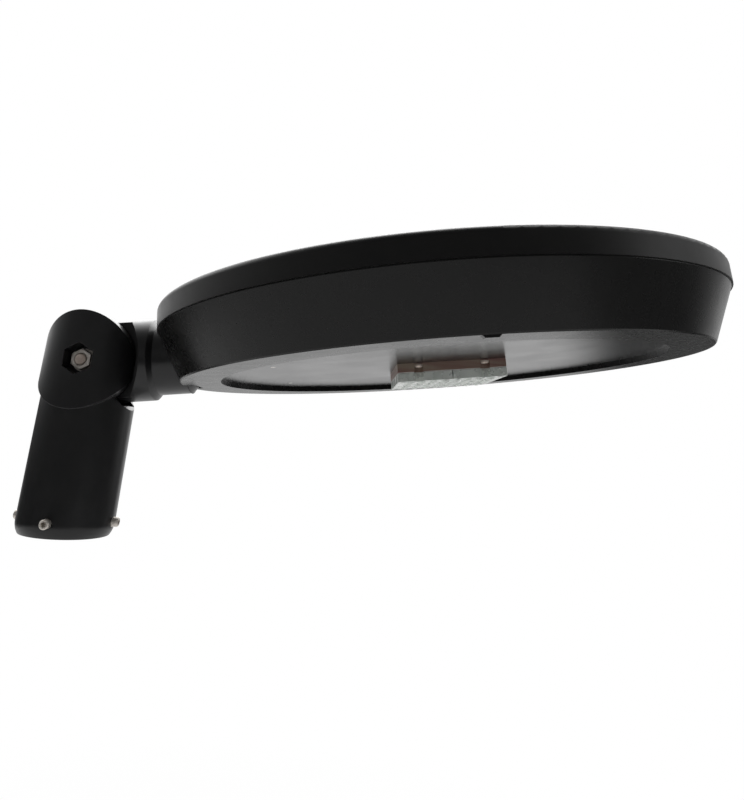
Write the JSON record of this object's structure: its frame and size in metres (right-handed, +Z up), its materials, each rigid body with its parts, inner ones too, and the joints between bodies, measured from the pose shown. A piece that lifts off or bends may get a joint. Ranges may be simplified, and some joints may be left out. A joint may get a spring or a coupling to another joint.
{
  "type": "street light",
  "caption": "Round flat LED street light head on a tilting knuckle arm with a clamping sleeve that slips over a pole top.",
  "frame": {"origin": "centre of the pole socket's mouth, on the socket's axis", "axes": "+Z runs up the pole through the sleeve, +X points from the pole to the lamp head, +Y completes the right-handed frame along the hinge bolt"},
  "size_m": [0.6072, 0.505, 0.2597],
  "materials": {
    "black_paint": "satin black powder coat on cast aluminium",
    "stainless": "plain stainless steel",
    "friction_liner": "pressed fibre friction liner",
    "gasket_rubber": "matt moulded rubber",
    "gland_plastic": "moulded nylon",
    "plate_metal": "semi-gloss black coated sheet",
    "sink_aluminium": "plain extruded aluminium",
    "spreader_copper": "tarnished copper-coloured spreader",
    "board_white": "white solder mask",
    "led_phosphor": "yellow phosphor",
    "seal_silicone": "translucent silicone",
    "lens_clear": "clear moulded lens",
    "screw_dark": "dark steel",
    "tray_zinc": "galvanised sheet",
    "driver_case": "plain driver case",
    "surge_case": "moulded case",
    "terminal_plastic": "moulded nylon",
    "lead_insulation": "red insulation"
  },
  "bodies": {
    "sleeve": {"pole_sleeve": "black_paint", "knuckle_fork": "black_paint", "clamp_screws": "stainless", "hinge_bolt": "stainless", "hinge_nut": "stainless", "hinge_washers": "stainless", "friction_washers": "friction_liner"},
    "head": {"arm": "black_paint", "arm_gasket": "gasket_rubber", "arm_screws": "stainless", "cable_gland": "gland_plastic", "top_housing": "black_paint", "lower_housing": "black_paint", "housing_gasket": "gasket_rubber", "housing_screws": "stainless", "bottom_plate": "plate_metal", "plate_screws": "stainless", "heat_sink": "sink_aluminium", "heat_spreader": "spreader_copper", "spreader_screws": "stainless", "led_board": "board_white", "leds": "led_phosphor", "lens_seal": "seal_silicone", "lens_panels": "lens_clear", "lens_screws": "screw_dark", "gear_tray": "tray_zinc", "led_driver": "driver_case", "driver_screws": "stainless", "surge_protector": "surge_case", "terminal_block": "terminal_plastic", "module_leads": "lead_insulation"}
  },
  "joints": [
    {"name": "head_tilt", "type": "hinge", "parent": "sleeve", "child": "head", "pos_m": [0, 0, 0.146], "axis": [0, -1, 0], "range_deg": [-3, 82]}
  ]
}
